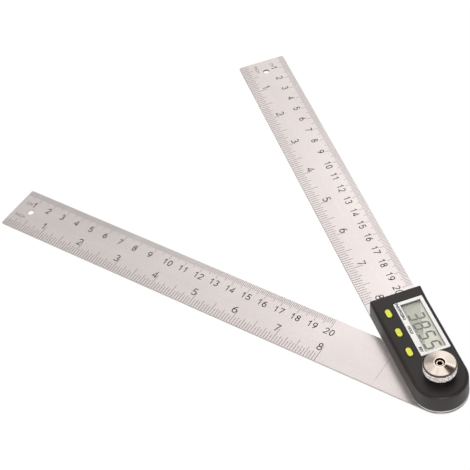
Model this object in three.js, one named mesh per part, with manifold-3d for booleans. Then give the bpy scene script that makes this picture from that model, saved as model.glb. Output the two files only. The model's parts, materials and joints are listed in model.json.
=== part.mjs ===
// Digital angle finder: two steel rule arms on one pivot, with a display housing and a lock knob.
// Millimetres, +Z up. The origin is on the pivot axis, in the plane that the lower arm lies on.
// The display arm runs from the pivot along +X, and the lower arm stands open from it by openAngle.

import * as THREE from "three";
import { mergeVertices } from "three/addons/utils/BufferGeometryUtils.js";
import Module from "manifold-3d";

const wasm = await Module();
wasm.setup();

// Arms
const bladeReach = 265.5; // pivot axis to the free end
const bladeThickness = 1;
const bladeGap = 0.5; // between the two blades
const bladeRail = 2.4; // steel left on each side of the battery door
const bladeCornerRadius = 1;
const hangHoleRadius = 1.7;
const hangHoleInset = 10; // from the free end
const openAngle = THREE.MathUtils.degToRad(38.55);

// Display housing
const coverHeight = 10.35; // above the display blade
const coverEnd = 55.2; // pivot axis to the square end
const coverDraft = 0.35; // each side leans in by this much at the top
const coverWall = 1.6;
const coverRoof = 1.5;
const coverEdgeRadius = 2;
const coverEdgeStart = 0.15; // edge radius at the square end, where the rounding runs out
const coverEdgeRunout = 9;
const coverCornerRadius = 0.8; // upright corners of the square end
const edgeGrowthShare = 0.6; // how fast the rounding grows along the runout
const edgeStationShares = [0, 0.02, 0.08, 0.25, 0.55, 1];
const edgeSteps = 4;
const baseThickness = 1.2;
const baseClearance = 0.2;

// Label frame and display window, in the top of the housing
const labelStart = 13.3; // pivot axis to the near end
const labelEndInset = 6.4; // from the square end
const labelSideInset = 2.2; // from the centimetre edge
const labelKeyGap = 2.65; // between the label and the keys
const labelThickness = 0.65;
const labelRecess = 0.5;
const labelCornerRadius = 0.5;
const labelNearBorder = 1.6;
const labelFarBorder = 2;
const labelSideBorder = 1.9;
const labelTextStrip = 3.1;
const lensThickness = 0.6;
const lensClearance = 0.15;

// Display module
const lcdOverlap = 1.5; // past the window on each side
const lcdThickness = 1.4;
const zebraHeight = 0.8;
const zebraWidth = 1.2;
const zebraInset = 0.3;
const boardThickness = 0.8;
const boardClearance = 0.8; // to the housing's inner walls and bosses
const chipSize = 5;
const chipHeight = 1.2;
const chipGap = 1;

// Keys
const keyCount = 3;
const keyStartInset = 4.5; // near end of the label to the first key
const keyEndInset = 5; // last key to the far end of the label
const keySideInset = 5.95; // from the inch edge
const keyLength = 5.8;
const keyWidth = 3.2;
const keyStand = 0.65;
const keyEdge = 0.35;
const keyCrownShares = [0.5, 1];
const keyClearance = 0.28;
const keyFlange = 0.55; // the flange is wider than the key by this much all round
const keyFlangeThickness = 0.8;
const keyFlangeGap = 0.15;
const keyStemRadius = 1;
const keyTravel = 0.5;
const keyStop = 0.1; // what is left over the dome at full travel
const domeRadius = 2;
const domeHeight = 0.5;
const domeShares = [1, 0.9, 0.6]; // radius at each third of the height

// Coin cell, its contacts and its door
const cellRadius = 10;
const cellThickness = 3.2;
const cellCapInset = 1.1;
const cellCapHeight = 0.3;
const cellPlace = 33; // pivot axis to the cell's middle
const cellGap = 0.15;
const clipThickness = 0.3;
const clipLip = 0.25; // the clip's lower edge is this far above the cell's lower face
const clipSpan = THREE.MathUtils.degToRad(290);
const leafLength = 9;
const leafWidth = 3;
const doorNeckMargin = 0.45; // past the cell's radius
const doorRim = 0.85; // past the neck
const doorClearance = 0.3;
const doorSink = 0.1; // below the blade's outer face
const doorLugReach = 1.25;
const doorLugThickness = 0.8;
const doorLugSpan = THREE.MathUtils.degToRad(26);
const doorNotchSpan = THREE.MathUtils.degToRad(34);
const doorLugCount = 3;
const doorLugStart = THREE.MathUtils.degToRad(20);
const doorTwist = THREE.MathUtils.degToRad(40);
const coinSlotLength = 11;
const coinSlotWidth = 1.8;
const coinSlotDepth = 0.5;

// Pivot, encoder and bush
const journalRadius = 4;
const rivetLip = 0.85; // the riveted foot past the journal
const spacerLip = 0.85; // the spacer step past the foot
const spacerThickness = 0.35;
const rotorSeat = 1; // shoulder under the rotor
const threadStep = 0.65; // shoulder under the thread
const threadClearance = 0.15;
const studDepth = 0.8; // the stud ends this far below the top of the knob
const socketFlats = 2.5;
const socketDepth = 1.6;
const pivotClearance = 0.25;
const rivetClearance = 0.15;
const bushLip = 0.6; // past the shaft's spacer
const bushFlangeLip = 1; // past the bush
const bushFlangeThickness = 0.6;
const bushRunning = 0.1;
const frictionClearance = 0.3;
const frictionWidth = 3;
const rotorThickness = 0.6;
const rotorGap = 0.4; // to the board above it and to the bosses beside it
const ringThickness = 0.4;
const ringWidth = 1.2;
const ringSpan = THREE.MathUtils.degToRad(300);
const ringGroove = 0.4;

// Lock knob
const knobRadius = 8.1;
const knobHeight = 4.8; // underside to the edge of the face
const knobCrown = 0.7; // the face rises by this much towards the bore
const knobHub = 0.4; // flat ring round the bore
const knobShoulder = 1.1; // height of the bevel between the face and the full knurl
const knobEdge = 0.6; // the face is smaller than the knurl by this much
const knobChamfer = 0.3; // under the knurl
const knobToothDepth = 0.25;
const knobTeeth = 46;
const collarRadius = 5.5;
const collarHeight = 3.15;
const washerRadius = 7;
const washerThickness = 0.6;

// Screws and their bosses
const screwRadius = 0.8;
const screwHeadRadius = 1.6;
const screwHeadHeight = 0.75;
const screwClearance = 0.15;
const screwBite = 4;
const screwPointGap = 0.3;
const crossLength = 2;
const crossWidth = 0.45;
const crossDepth = 0.35;
const bossRadius = 2;
const bossInset = 3; // from the square end
const bossGap = 0.2; // to the side wall
const pivotBossRadius = 1.6;
const pivotBossBite = 0.2; // into the round wall
const boardBossRadius = 1.7;
const boardBossPlace = 8.5; // pivot axis to the two bosses, along the arm
const boardEdge = 0.6; // board left outside the bosses
const boardHeadRadius = 1.5;
const boardHeadHeight = 0.7;

// General values
const seatGap = 0.05; // between faces that seat or run on each other
const overrun = 1; // how far a cutter runs past what it cuts
const vertexTolerance = 0.0001;
const roundSegments = 36;
const smallSegments = 12;
const endSegments = 20; // half-round ends
const outlineSegments = 6; // quarter-round corners

// Round sizes
const doorNeck = cellRadius + doorNeckMargin;
const doorRadius = doorNeck + doorRim;
const doorLugRadius = doorNeck + doorLugReach;
const rivetRadius = journalRadius + rivetLip;
const spacerRadius = rivetRadius + spacerLip;
const frictionInner = spacerRadius + frictionClearance;
const bushRadius = spacerRadius + bushLip;
const bushFlange = bushRadius + bushFlangeLip;
const neckRadius = journalRadius - rotorSeat;
const threadRadius = neckRadius - threadStep;
const ringInner = neckRadius - ringGroove + seatGap;
const boreRadius = threadRadius + threadClearance;
const knobFaceRadius = knobRadius - knobEdge;

// Plan: the arm is as wide as its battery door needs
const halfWidth = doorRadius + doorClearance + bladeRail;
const cavityHalf = halfWidth - coverWall;
const cavityEnd = coverEnd - coverWall;
const bossPlace = coverEnd - bossInset;
const bossSide = cavityHalf - bossGap - bossRadius;
const pivotBossReach = cavityHalf + pivotBossBite - pivotBossRadius;
const pivotBossOffset = pivotBossReach * Math.SQRT1_2;
const rotorRadius = pivotBossReach - pivotBossRadius - rotorGap;
const boardHalf = cavityHalf - boardClearance;
const boardBossSide = boardHalf - boardEdge - boardBossRadius;
const boardEnd = bossPlace - bossRadius - boardClearance;
const keySide = halfWidth - keySideInset;
const labelEnd = coverEnd - labelEndInset;
const labelLow = labelSideInset - halfWidth;
const labelHigh = keySide - keyWidth / 2 - labelKeyGap;
const windowStart = labelStart + labelNearBorder;
const windowEnd = labelEnd - labelFarBorder;
const windowLow = labelLow + labelSideBorder;
const windowHigh = labelHigh - labelTextStrip;
const windowX = [windowStart, windowEnd];
const windowY = [windowLow, windowHigh];
const keyFirst = labelStart + keyStartInset;
const keyPitch = (labelEnd - keyEndInset - keyFirst) / (keyCount - 1);
const keyPlaces = Array.from({ length: keyCount }, (_, i) => keyFirst + (keyCount - 1 - i) * keyPitch);
const bossPlaces = [
  [bossPlace, bossSide, bossRadius],
  [bossPlace, -bossSide, bossRadius],
  [-pivotBossOffset, pivotBossOffset, pivotBossRadius],
  [-pivotBossOffset, -pivotBossOffset, pivotBossRadius],
];
const boardBossPlaces = [
  [boardBossPlace, boardBossSide],
  [boardBossPlace, -boardBossSide],
];

// Heights
const lowerTop = bladeThickness;
const upperBottom = lowerTop + bladeGap;
const upperTop = upperBottom + bladeThickness;
const baseTop = upperTop + baseThickness;
const coverTop = upperTop + coverHeight;
const cavityTop = coverTop - coverRoof;
const lcdTop = cavityTop - seatGap;
const lcdBottom = lcdTop - lcdThickness;
const boardTop = lcdBottom - zebraHeight;
const boardBottom = boardTop - boardThickness;
const rotorTop = boardBottom - rotorGap;
const rotorBottom = rotorTop - rotorThickness;
const lugBottom = baseTop + doorSink;
const lugTop = lugBottom + doorLugThickness;
const cellBottom = lugTop + cellGap;
const cellTop = cellBottom + cellThickness;
const domeTop = boardTop + domeHeight;
const stemBottom = domeTop + keyTravel + keyStop;
const flangeTop = cavityTop - keyFlangeGap;
const flangeBottom = flangeTop - keyFlangeThickness;
const keyTop = coverTop + keyStand;
const labelBottom = coverTop - labelRecess;
const washerBottom = coverTop + 2 * seatGap;
const washerTop = washerBottom + washerThickness;
const collarBottom = washerTop + 2 * seatGap;
const knobBottom = collarBottom + collarHeight;
const knobEdgeTop = knobBottom + knobHeight;
const knobTop = knobEdgeTop + knobCrown;
const studTop = knobTop - studDepth;
const neckTop = washerBottom - pivotClearance;

// Solids from closed geometry, and geometry from solids
function solid(geometry) {
  const source = geometry.index ? geometry.toNonIndexed() : geometry;
  const bare = new THREE.BufferGeometry();
  bare.setAttribute("position", source.getAttribute("position"));
  const merged = mergeVertices(bare, vertexTolerance);
  const vertProperties = merged.attributes.position.array;
  const triVerts = new Uint32Array(merged.index.array);
  return new wasm.Manifold(new wasm.Mesh({ numProp: 3, vertProperties, triVerts }));
}

function geometryOf(made) {
  const { vertProperties, triVerts } = made.getMesh();
  const geometry = new THREE.BufferGeometry();
  geometry.setAttribute("position", new THREE.BufferAttribute(vertProperties, 3));
  geometry.setIndex(new THREE.BufferAttribute(triVerts, 1));
  return geometry;
}

function joined(pieces) {
  return pieces.reduce((sum, piece) => sum.add(piece));
}

function cutBy(body, cutters) {
  return cutters.reduce((rest, cutter) => rest.subtract(cutter), body);
}

// Basic shapes
function cone(lowRadius, highRadius, bottom, top, x = 0, y = 0, segments = smallSegments) {
  const geometry = new THREE.CylinderGeometry(highRadius, lowRadius, top - bottom, segments);
  geometry.rotateX(Math.PI / 2);
  geometry.translate(x, y, (bottom + top) / 2);
  return solid(geometry);
}

function drum(radius, bottom, top, x = 0, y = 0, segments = smallSegments) {
  return cone(radius, radius, bottom, top, x, y, segments);
}

function block([x0, x1], [y0, y1], [z0, z1]) {
  const geometry = new THREE.BoxGeometry(x1 - x0, y1 - y0, z1 - z0);
  geometry.translate((x0 + x1) / 2, (y0 + y1) / 2, (z0 + z1) / 2);
  return solid(geometry);
}

function span(middle, length) {
  return [middle - length / 2, middle + length / 2];
}

function widened([low, high], margin) {
  return [low - margin, high + margin];
}

function prism(shape, bottom, top, curveSegments = outlineSegments) {
  const depth = top - bottom;
  const geometry = new THREE.ExtrudeGeometry(shape, { depth, bevelEnabled: false, curveSegments });
  geometry.translate(0, 0, bottom);
  return solid(geometry);
}

// A profile of [radius, height] points from the lower end of the axis to the upper one
function turnedAt(profile, x, y, segments = roundSegments) {
  const points = profile.map(([radius, height]) => new THREE.Vector2(radius, height));
  const geometry = new THREE.LatheGeometry(points, segments);
  geometry.rotateX(Math.PI / 2);
  geometry.translate(x, y, 0);
  return solid(geometry);
}

function turned(profile) {
  return turnedAt(profile, 0, 0);
}

// A closed skin over rings of points, each ring with as many points as the next
function loft(rings) {
  const count = rings[0].length;
  const outline = rings[0].map((p) => new THREE.Vector2(p.x, p.y));
  const lid = rings[rings.length - 1].map((p) => new THREE.Vector2(p.x, p.y));
  const lastStart = count * (rings.length - 1);
  const index = [];
  for (const [a, b, c] of THREE.ShapeUtils.triangulateShape(outline, [])) {
    index.push(a, c, b);
  }
  for (const face of THREE.ShapeUtils.triangulateShape(lid, [])) {
    index.push(...face.map((i) => i + lastStart));
  }
  for (let r = 0; r < rings.length - 1; r += 1) {
    for (let i = 0; i < count; i += 1) {
      const low = r * count + i;
      const lowNext = r * count + ((i + 1) % count);
      index.push(low, lowNext, lowNext + count, low, lowNext + count, low + count);
    }
  }
  const geometry = new THREE.BufferGeometry().setFromPoints(rings.flat());
  geometry.setIndex(index);
  return solid(geometry);
}

function roundedBox([left, right], [low, high], radius) {
  const shape = new THREE.Shape();
  shape.absarc(right - radius, high - radius, radius, 0, Math.PI / 2);
  shape.absarc(left + radius, high - radius, radius, Math.PI / 2, Math.PI);
  shape.absarc(left + radius, low + radius, radius, Math.PI, Math.PI * 1.5);
  shape.absarc(right - radius, low + radius, radius, Math.PI * 1.5, Math.PI * 2);
  shape.closePath();
  return shape;
}

// A straight bar with a half-round end about the pivot and a square end at reach
function roundEnded(half, reach) {
  const shape = new THREE.Shape();
  shape.moveTo(reach, -half);
  shape.lineTo(reach, half);
  shape.absarc(0, 0, half, Math.PI / 2, Math.PI * 1.5);
  shape.closePath();
  return shape;
}

// A part of a flat ring, between two radii and over one angle
function ringSector(inner, outer, middleAngle, span, x = 0, y = 0) {
  const shape = new THREE.Shape();
  const start = middleAngle - span / 2;
  const end = middleAngle + span / 2;
  shape.absarc(x, y, outer, start, end);
  shape.absarc(x, y, inner, end, start, true);
  shape.closePath();
  return shape;
}

function finish(color, roughness, metalness) {
  return new THREE.MeshStandardMaterial({ color, roughness, metalness });
}

function part(name, made, material) {
  const mesh = new THREE.Mesh(geometryOf(made), material);
  mesh.name = name;
  return mesh;
}

// Rule blades
function bladeBlank(bottom) {
  const shape = new THREE.Shape();
  const corner = bladeCornerRadius;
  shape.absarc(bladeReach - corner, -halfWidth + corner, corner, -Math.PI / 2, 0);
  shape.absarc(bladeReach - corner, halfWidth - corner, corner, 0, Math.PI / 2);
  shape.absarc(0, 0, halfWidth, Math.PI / 2, Math.PI * 1.5);
  shape.closePath();
  const top = bottom + bladeThickness;
  const blank = prism(shape, bottom, top, endSegments);
  const hole = drum(hangHoleRadius, bottom - overrun, top + overrun, bladeReach - hangHoleInset, 0);
  return blank.subtract(hole);
}

function lowerBlade() {
  const radius = rivetRadius + rivetClearance;
  return bladeBlank(0).subtract(drum(radius, -overrun, lowerTop + overrun, 0, 0, roundSegments));
}

function displayBlade() {
  const low = upperBottom - overrun;
  const high = upperTop + overrun;
  const shank = screwRadius + screwClearance;
  const head = screwHeadRadius + screwClearance;
  const headTop = upperBottom + screwHeadHeight + seatGap;
  const cutters = [
    drum(bushRadius + rivetClearance, low, high, 0, 0, roundSegments),
    drum(doorRadius + doorClearance, low, high, cellPlace, 0, roundSegments),
  ];
  for (const [x, y] of bossPlaces) {
    cutters.push(drum(shank, low, high, x, y));
    cutters.push(drum(head, low, upperBottom + seatGap, x, y));
    cutters.push(cone(head, shank, upperBottom + seatGap, headTop, x, y));
  }
  return cutBy(bladeBlank(upperBottom), cutters);
}

// Display housing
function edgeRadiusAt(fromEnd) {
  const share = Math.min(1, fromEnd / coverEdgeRunout) ** edgeGrowthShare;
  return coverEdgeStart + (coverEdgeRadius - coverEdgeStart) * share;
}

// How far the side comes in as it turns the upright corner
function cornerInset(fromEnd) {
  const left = Math.max(0, coverCornerRadius - fromEnd);
  return coverCornerRadius - Math.sqrt(coverCornerRadius ** 2 - left ** 2);
}

function coverRing(height, turn, rounding) {
  const side = edgeStationShares.map((share) => coverEnd - share * coverEdgeRunout);
  const points = [];
  const place = (x, normal, radius) => {
    const edge = rounding ? radius : 0;
    const z = rounding ? coverTop - edge + edge * Math.sin(turn) : height;
    const lean = (coverDraft * (z - upperTop)) / coverHeight;
    const rounded = edge * (1 - Math.cos(turn)) + cornerInset(coverEnd - x);
    const half = halfWidth - lean - rounded;
    const along = Math.min(x, coverEnd - lean);
    points.push(new THREE.Vector3(along + half * Math.cos(normal), half * Math.sin(normal), z));
  };
  side.forEach((x) => place(x, Math.PI / 2, edgeRadiusAt(coverEnd - x)));
  for (let i = 0; i <= endSegments; i += 1) {
    place(0, Math.PI / 2 + (Math.PI * i) / endSegments, coverEdgeRadius);
  }
  side.reverse().forEach((x) => place(x, -Math.PI / 2, edgeRadiusAt(coverEnd - x)));
  return points;
}

function coverShell() {
  const rings = [coverRing(upperTop, 0, false)];
  for (let i = 0; i <= edgeSteps; i += 1) {
    rings.push(coverRing(coverTop, (Math.PI / 2) * (i / edgeSteps), true));
  }
  const cavity = prism(roundEnded(cavityHalf, cavityEnd), upperTop - overrun, cavityTop, endSegments);
  return loft(rings).subtract(cavity);
}

function keyOutline(x, margin) {
  const alongX = widened(span(x, keyLength), margin);
  const alongY = widened(span(keySide, keyWidth), margin);
  return roundedBox(alongX, alongY, keyWidth / 2 + margin - vertexTolerance);
}

function frontCover() {
  const bosses = bossPlaces.map(([x, y, radius]) => drum(radius, baseTop, cavityTop + seatGap, x, y));
  const boardBosses = boardBossPlaces.map(([x, y]) => {
    return drum(boardBossRadius, boardTop, cavityTop + seatGap, x, y);
  });
  const pilot = screwRadius + screwClearance;
  const high = coverTop + overrun;
  const low = cavityTop - overrun;
  const label = roundedBox([labelStart, labelEnd], [labelLow, labelHigh], labelCornerRadius);
  const pilotTop = baseTop + screwBite + screwPointGap;
  const cutters = [
    prism(label, labelBottom, high),
    block(windowX, windowY, [low, high]),
    drum(neckRadius + pivotClearance, low, high, 0, 0, roundSegments),
    ...keyPlaces.map((x) => prism(keyOutline(x, keyClearance), low, high)),
    ...bossPlaces.map(([x, y]) => drum(pilot, baseTop - overrun, pilotTop, x, y)),
    ...boardBossPlaces.map(([x, y]) => drum(pilot, boardTop - overrun, cavityTop, x, y)),
  ];
  return cutBy(joined([coverShell(), ...bosses, ...boardBosses]), cutters);
}

function housingBase() {
  const outline = roundEnded(cavityHalf - baseClearance, cavityEnd - baseClearance);
  const plate = prism(outline, upperTop, baseTop, endSegments);
  const low = upperTop - overrun;
  const high = baseTop + overrun;
  const cutters = [
    drum(bushFlange + baseClearance, low, high, 0, 0, roundSegments),
    drum(doorNeck + doorClearance, low, high, cellPlace, 0, roundSegments),
    ...bossPlaces.map(([x, y]) => drum(screwRadius + screwClearance, low, high, x, y)),
  ];
  for (let i = 0; i < doorLugCount; i += 1) {
    const angle = doorLugStart + doorTwist + (i * 2 * Math.PI) / doorLugCount;
    const notch = ringSector(cellRadius, doorLugRadius + doorClearance, angle, doorNotchSpan, cellPlace, 0);
    cutters.push(prism(notch, low, high));
  }
  return cutBy(plate, cutters);
}

function windowLabel() {
  const alongX = widened([labelStart, labelEnd], -lensClearance);
  const alongY = widened([labelLow, labelHigh], -lensClearance);
  const outline = roundedBox(alongX, alongY, labelCornerRadius);
  const plate = prism(outline, labelBottom, labelBottom + labelThickness);
  return plate.subtract(block(windowX, windowY, [labelBottom - overrun, coverTop + overrun]));
}

// Display module
function lcdLens() {
  const alongX = widened(windowX, -lensClearance);
  const alongY = widened(windowY, -lensClearance);
  return block(alongX, alongY, [lcdTop, lcdTop + lensThickness]);
}

function lcdGlass() {
  return block(widened(windowX, lcdOverlap), widened(windowY, lcdOverlap), [lcdBottom, lcdTop]);
}

function zebraStrip(edge, direction) {
  const outer = edge + direction * (lcdOverlap - zebraInset);
  return block(windowX, span(outer - (direction * zebraWidth) / 2, zebraWidth), [boardTop, lcdBottom]);
}

function mainBoard() {
  const start = boardBossPlace - boardBossRadius - boardEdge;
  const low = boardBottom - overrun;
  const high = boardTop + overrun;
  const plate = block([start, boardEnd], [-boardHalf, boardHalf], [boardBottom, boardTop]);
  const disc = drum(rotorRadius, boardBottom, boardTop, 0, 0, roundSegments);
  const cutters = [
    drum(ringInner + ringWidth + rotorGap, low, high, 0, 0, roundSegments),
    ...boardBossPlaces.map(([x, y]) => drum(screwRadius + screwClearance, low, high, x, y)),
  ];
  return cutBy(plate.add(disc), cutters);
}

function controllerChip() {
  const start = rotorRadius + chipGap;
  return block([start, start + chipSize], span(0, chipSize), [boardBottom - chipHeight, boardBottom]);
}

// Keys
function keyRing(x, margin, height) {
  return keyOutline(x, margin)
    .getPoints(outlineSegments)
    .slice(0, -1)
    .map((p) => new THREE.Vector3(p.x, p.y, height));
}

function key(x) {
  const cap = [keyRing(x, 0, flangeBottom), keyRing(x, 0, keyTop - keyEdge)];
  for (const share of keyCrownShares) {
    cap.push(keyRing(x, -keyEdge * share * share, keyTop - keyEdge * (1 - share) ** 2));
  }
  const flange = prism(keyOutline(x, keyFlange), flangeBottom, flangeTop);
  const stem = drum(keyStemRadius, stemBottom, flangeTop, x, keySide);
  return joined([loft(cap), flange, stem]);
}

function switchDome(x) {
  const step = domeHeight / domeShares.length;
  const side = domeShares.map((share, i) => [domeRadius * share, boardTop + i * step]);
  return turnedAt([[0, boardTop], ...side, [0, domeTop]], x, keySide, smallSegments);
}

// Coin cell, contacts and door
function coinCell() {
  const shoulder = cellTop - cellCapHeight;
  const profile = [
    [0, cellBottom],
    [cellRadius - cellGap, cellBottom],
    [cellRadius, cellBottom + cellGap],
    [cellRadius, shoulder],
    [cellRadius - cellCapInset, shoulder],
    [cellRadius - cellCapInset, cellTop],
    [0, cellTop],
  ];
  return turnedAt(profile, cellPlace, 0);
}

function cellClip() {
  const inner = cellRadius + cellGap;
  const band = ringSector(inner, inner + clipThickness, Math.PI, clipSpan, cellPlace, 0);
  return prism(band, cellBottom + clipLip, boardBottom, endSegments);
}

function cellLeaf() {
  return block(span(cellPlace, leafLength), span(0, leafWidth), [cellTop, boardBottom]);
}

function batteryDoor() {
  const bottom = upperBottom + doorSink;
  const top = upperTop - doorSink;
  const pieces = [
    drum(doorRadius, bottom, top, cellPlace, 0, roundSegments),
    drum(doorNeck, bottom, lugTop, cellPlace, 0, roundSegments),
  ];
  for (let i = 0; i < doorLugCount; i += 1) {
    const angle = doorLugStart + (i * 2 * Math.PI) / doorLugCount;
    const lug = ringSector(cellRadius - doorRim, doorLugRadius, angle, doorLugSpan, cellPlace, 0);
    pieces.push(prism(lug, lugBottom, lugTop));
  }
  const slotHeights = [bottom - overrun, bottom + coinSlotDepth];
  const slot = block(span(cellPlace, coinSlotLength), span(0, coinSlotWidth), slotHeights);
  return joined(pieces).subtract(slot);
}

// Pivot and encoder
function pivotShaft() {
  const grooveBottom = rotorTop + seatGap;
  const grooveTop = grooveBottom + ringThickness + seatGap;
  const groove = neckRadius - ringGroove;
  const profile = [
    [0, 0],
    [rivetRadius, 0],
    [rivetRadius, lowerTop],
    [spacerRadius, lowerTop],
    [spacerRadius, lowerTop + spacerThickness],
    [journalRadius, lowerTop + spacerThickness],
    [journalRadius, rotorBottom],
    [neckRadius, rotorBottom],
    [neckRadius, grooveBottom],
    [groove, grooveBottom],
    [groove, grooveTop],
    [neckRadius, grooveTop],
    [neckRadius, neckTop],
    [threadRadius, neckTop],
    [threadRadius, studTop - threadClearance],
    [threadRadius - threadClearance, studTop],
    [0, studTop],
  ];
  const socketRadius = socketFlats / 2 / Math.cos(Math.PI / 6);
  return turned(profile).subtract(drum(socketRadius, studTop - socketDepth, studTop + overrun, 0, 0, 6));
}

function flatRing(inner, outer, bottom, top) {
  return turned([
    [inner, bottom],
    [outer, bottom],
    [outer, top],
    [inner, top],
    [inner, bottom],
  ]);
}

function frictionWasher() {
  return flatRing(frictionInner, frictionInner + frictionWidth, lowerTop + seatGap, upperBottom - seatGap);
}

function encoderRotor() {
  return flatRing(neckRadius + threadClearance, rotorRadius, rotorBottom, rotorTop);
}

function retainingRing() {
  const bottom = rotorTop + seatGap + seatGap / 2;
  const sector = ringSector(ringInner, ringInner + ringWidth, 0, ringSpan);
  return prism(sector, bottom, bottom + ringThickness, endSegments);
}

function pivotBush() {
  const inner = journalRadius + bushRunning;
  const bottom = upperBottom + doorSink;
  return turned([
    [inner, bottom],
    [bushRadius, bottom],
    [bushRadius, upperTop],
    [bushFlange, upperTop],
    [bushFlange, upperTop + bushFlangeThickness],
    [inner, upperTop + bushFlangeThickness],
    [inner, bottom],
  ]);
}

// Lock knob
function knobRing(outer, height, toothDepth = 0) {
  return Array.from({ length: 2 * knobTeeth }, (_, i) => {
    const radius = outer - (i % 2) * toothDepth;
    const angle = (Math.PI * i) / knobTeeth;
    return new THREE.Vector3(radius * Math.cos(angle), radius * Math.sin(angle), height);
  });
}

function lockKnob() {
  const disc = loft([
    knobRing(knobRadius - knobChamfer, knobBottom),
    knobRing(knobRadius, knobBottom + knobChamfer, knobToothDepth),
    knobRing(knobRadius, knobEdgeTop - knobShoulder, knobToothDepth),
    knobRing(knobFaceRadius, knobEdgeTop),
    knobRing(boreRadius + knobHub, knobTop),
  ]);
  const collar = drum(collarRadius, collarBottom, knobBottom + knobChamfer, 0, 0, roundSegments);
  const bore = drum(boreRadius, collarBottom - overrun, knobTop + overrun, 0, 0, roundSegments);
  return disc.add(collar).subtract(bore);
}

function knobWasher() {
  return flatRing(threadRadius + pivotClearance, washerRadius, washerBottom, washerTop);
}

// Screws
function crossSlot(heights, x, y) {
  const alongX = block(span(x, crossLength), span(y, crossWidth), heights);
  const alongY = block(span(x, crossWidth), span(y, crossLength), heights);
  return alongX.add(alongY);
}

function coverScrew(x, y) {
  const bottom = upperBottom + seatGap;
  const headTop = bottom + screwHeadHeight;
  const body = cone(screwHeadRadius, screwRadius, bottom, headTop, x, y);
  const shank = drum(screwRadius, headTop - seatGap, baseTop + screwBite, x, y);
  return body.add(shank).subtract(crossSlot([bottom - overrun, bottom + crossDepth], x, y));
}

function boardScrew(x, y) {
  const bottom = boardBottom - boardHeadHeight;
  const head = drum(boardHeadRadius, bottom, boardBottom, x, y);
  const shank = drum(screwRadius, bottom, cavityTop - screwPointGap, x, y);
  return head.add(shank).subtract(crossSlot([bottom - overrun, bottom + crossDepth], x, y));
}

const steel = finish(0xd8d2cd, 0.32, 1);
const polished = finish(0xe8dccf, 0.15, 1);
const bronze = finish(0xb08a4a, 0.35, 1);
const housing = finish(0x3b3937, 0.45, 0);
const acetal = finish(0x1c1c1c, 0.5, 0);
const labelSilver = finish(0xe6e4df, 0.4, 0.2);
const lensClear = finish(0xdfe4dc, 0.05, 0);
const lcdGrey = finish(0xb4b9a6, 0.2, 0);
const elastomer = finish(0x8a8f99, 0.8, 0);
const boardGreen = finish(0x1f5a34, 0.5, 0);
const epoxy = finish(0x161616, 0.4, 0);
const keyYellow = finish(0xdfe24e, 0.4, 0);

const lowerArm = new THREE.Group();
lowerArm.rotation.z = openAngle;
lowerArm.add(part("lower_blade", lowerBlade(), steel));
lowerArm.add(part("pivot_shaft", pivotShaft(), polished));
lowerArm.add(part("friction_washer", frictionWasher(), acetal));
lowerArm.add(part("encoder_rotor", encoderRotor(), boardGreen));
lowerArm.add(part("retaining_ring", retainingRing(), steel));

const displayArm = new THREE.Group();
displayArm.add(part("display_blade", displayBlade(), steel));
displayArm.add(part("pivot_bush", pivotBush(), bronze));
displayArm.add(part("housing_base", housingBase(), housing));
displayArm.add(part("front_cover", frontCover(), housing));
displayArm.add(part("window_label", windowLabel(), labelSilver));
displayArm.add(part("lcd_lens", lcdLens(), lensClear));
displayArm.add(part("lcd_glass", lcdGlass(), lcdGrey));
displayArm.add(part("zebra_strip_inch_side", zebraStrip(windowHigh, 1), elastomer));
displayArm.add(part("zebra_strip_cm_side", zebraStrip(windowLow, -1), elastomer));
displayArm.add(part("main_board", mainBoard(), boardGreen));
displayArm.add(part("controller_chip", controllerChip(), epoxy));
displayArm.add(part("coin_cell", coinCell(), polished));
displayArm.add(part("cell_clip", cellClip(), steel));
displayArm.add(part("cell_leaf", cellLeaf(), steel));
displayArm.add(part("battery_door", batteryDoor(), housing));
keyPlaces.forEach((x, i) => {
  displayArm.add(part(`key_${i + 1}`, key(x), keyYellow));
  displayArm.add(part(`switch_dome_${i + 1}`, switchDome(x), steel));
});
bossPlaces.forEach(([x, y], i) => {
  displayArm.add(part(`cover_screw_${i + 1}`, coverScrew(x, y), steel));
});
boardBossPlaces.forEach(([x, y], i) => {
  displayArm.add(part(`board_screw_${i + 1}`, boardScrew(x, y), steel));
});

const lock = new THREE.Group();
lock.add(part("knob_washer", knobWasher(), acetal));
lock.add(part("lock_knob", lockKnob(), polished));

const angleFinder = new THREE.Group();
angleFinder.add(lowerArm, displayArm, lock);

export default angleFinder;
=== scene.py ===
import json
import math

import bmesh
import bpy
from mathutils import Matrix, Vector
from mathutils.geometry import tessellate_polygon


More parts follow.
